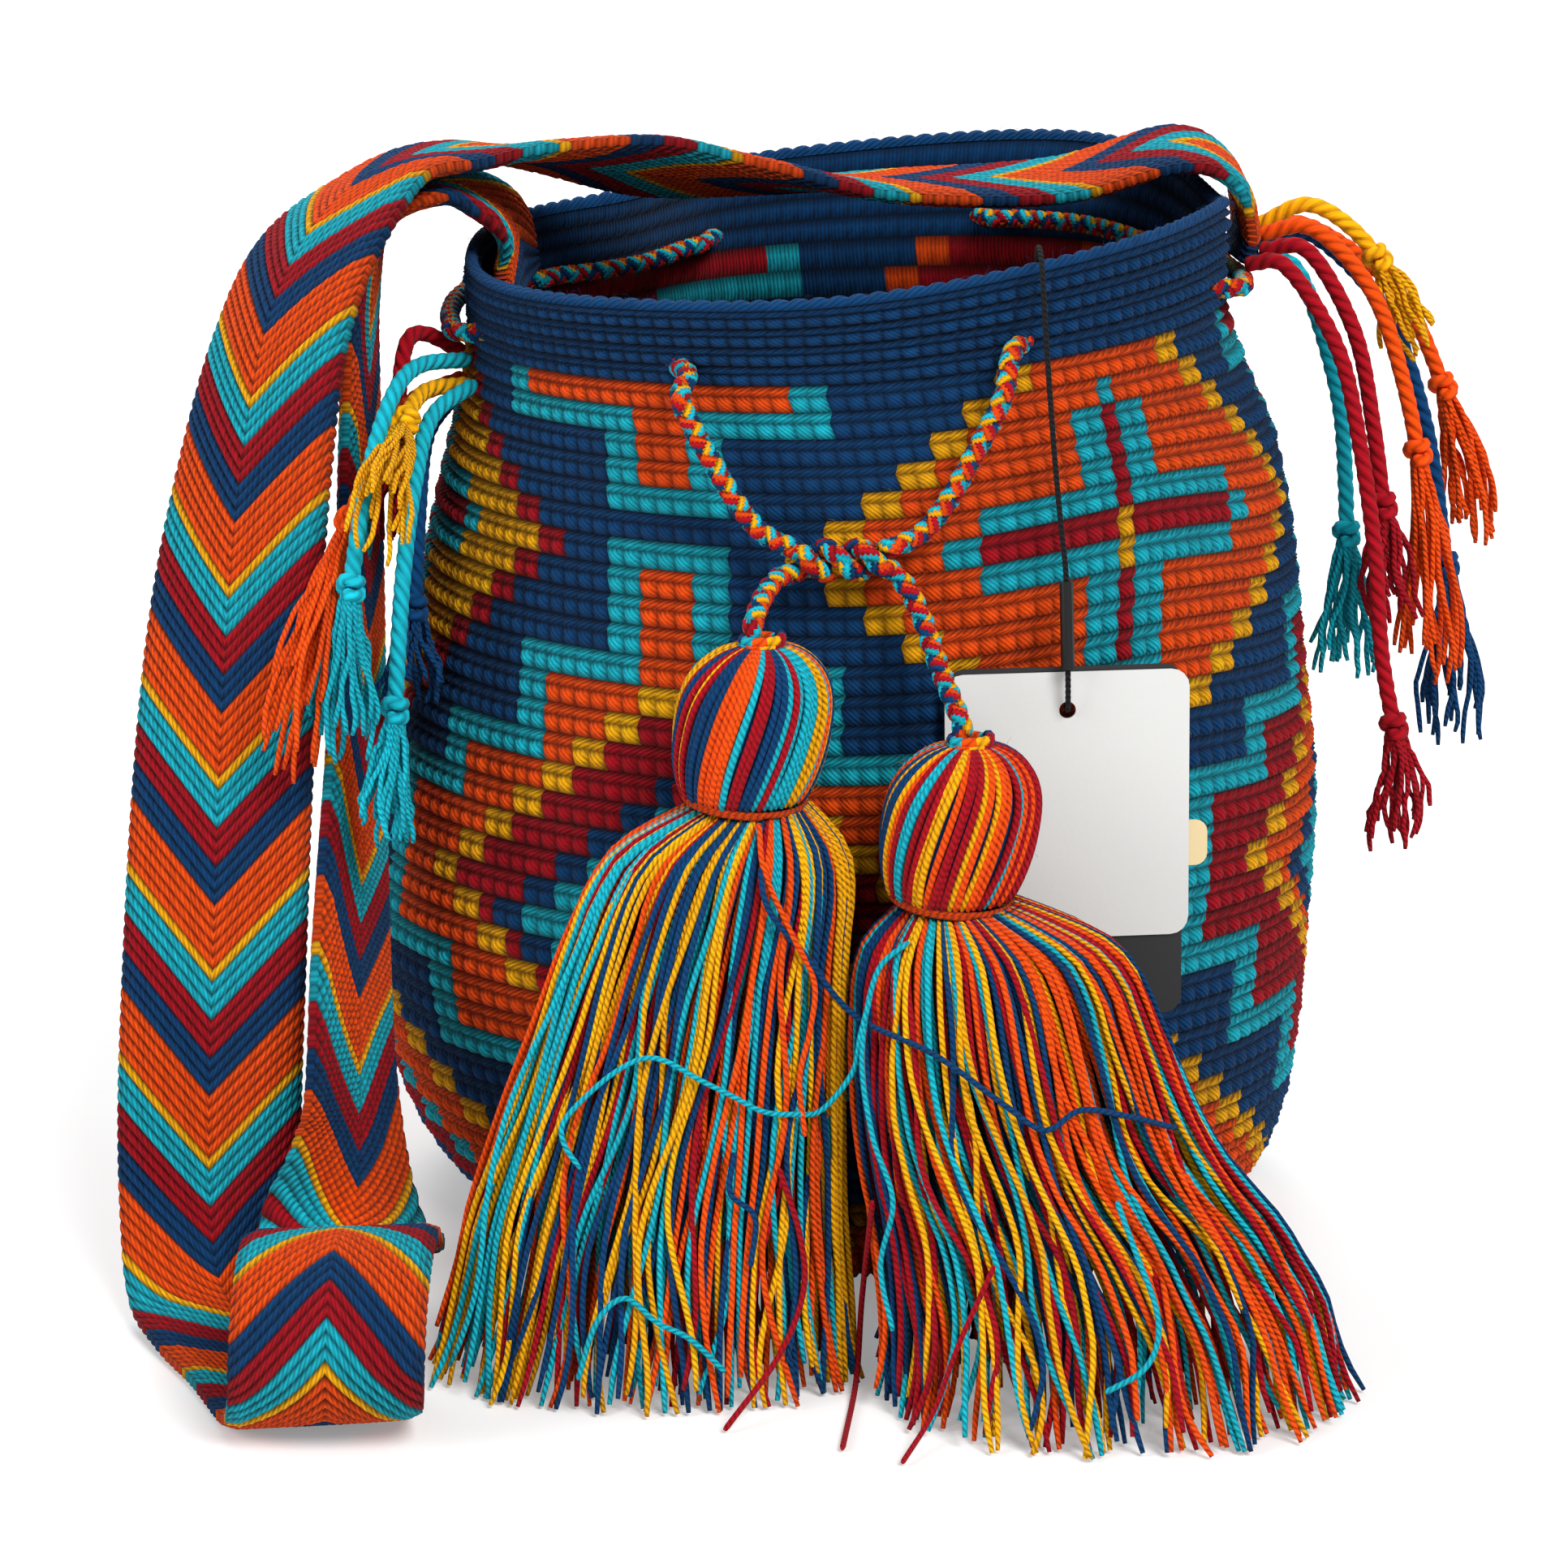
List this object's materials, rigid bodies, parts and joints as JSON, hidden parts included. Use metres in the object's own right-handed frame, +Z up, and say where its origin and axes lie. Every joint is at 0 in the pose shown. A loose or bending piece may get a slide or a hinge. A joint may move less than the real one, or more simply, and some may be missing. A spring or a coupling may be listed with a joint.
{
  "type": "crocheted drawstring shoulder bag",
  "caption": "Soft crocheted bucket bag with a woven chevron shoulder strap, a plaited drawstring with tassels and a blank hang tag.",
  "frame": {"origin": "centre of the flat base on the floor, under the middle of the bag", "axes": "+Z up through the mouth, -Y towards the front with the tassels, +X to the right seen from the front"},
  "size_m": [0.3589, 0.3174, 0.2854],
  "materials": {
    "crochet_navy": "matte crochet yarn",
    "strap_weave": "matte woven yarn",
    "cord_plait": "matte plaited cord",
    "yarn_mixed": "soft plied yarn",
    "yarn_red": "matte plied yarn",
    "yarn_teal": "matte plied yarn",
    "yarn_yellow": "matte plied yarn",
    "yarn_orange": "matte plied yarn",
    "yarn_navy": "matte plied yarn",
    "card_white": "smooth matt card",
    "card_black": "smooth matt card",
    "card_cream": "smooth matt card",
    "string_black": "braided string",
    "sleeve_black": "satin plastic"
  },
  "bodies": {
    "root": {"bag_body": "crochet_navy", "strap": "strap_weave", "drawstring": "cord_plait", "tassel_head_left": "yarn_mixed", "tassel_head_right": "yarn_mixed", "tassel_binding_left": "yarn_orange", "tassel_binding_right": "yarn_orange", "tassel_skirt_left": "yarn_mixed", "tassel_skirt_right": "yarn_mixed", "tag_front_card": "card_white", "tag_back_card": "card_black", "tag_tab": "card_cream", "tag_string": "string_black", "tag_sleeve": "sleeve_black", "fringe_left_red": "yarn_red", "fringe_left_yellow": "yarn_yellow", "fringe_left_orange": "yarn_orange", "fringe_left_teal": "yarn_teal", "fringe_left_knotted": "yarn_teal", "fringe_left_navy": "yarn_navy", "fringe_right_red": "yarn_red", "fringe_right_red_short": "yarn_red", "fringe_right_teal": "yarn_teal", "fringe_right_orange": "yarn_orange", "fringe_right_yellow": "yarn_yellow", "fringe_right_navy": "yarn_navy", "fringe_right_amber": "yarn_orange"}
  },
  "joints": []
}
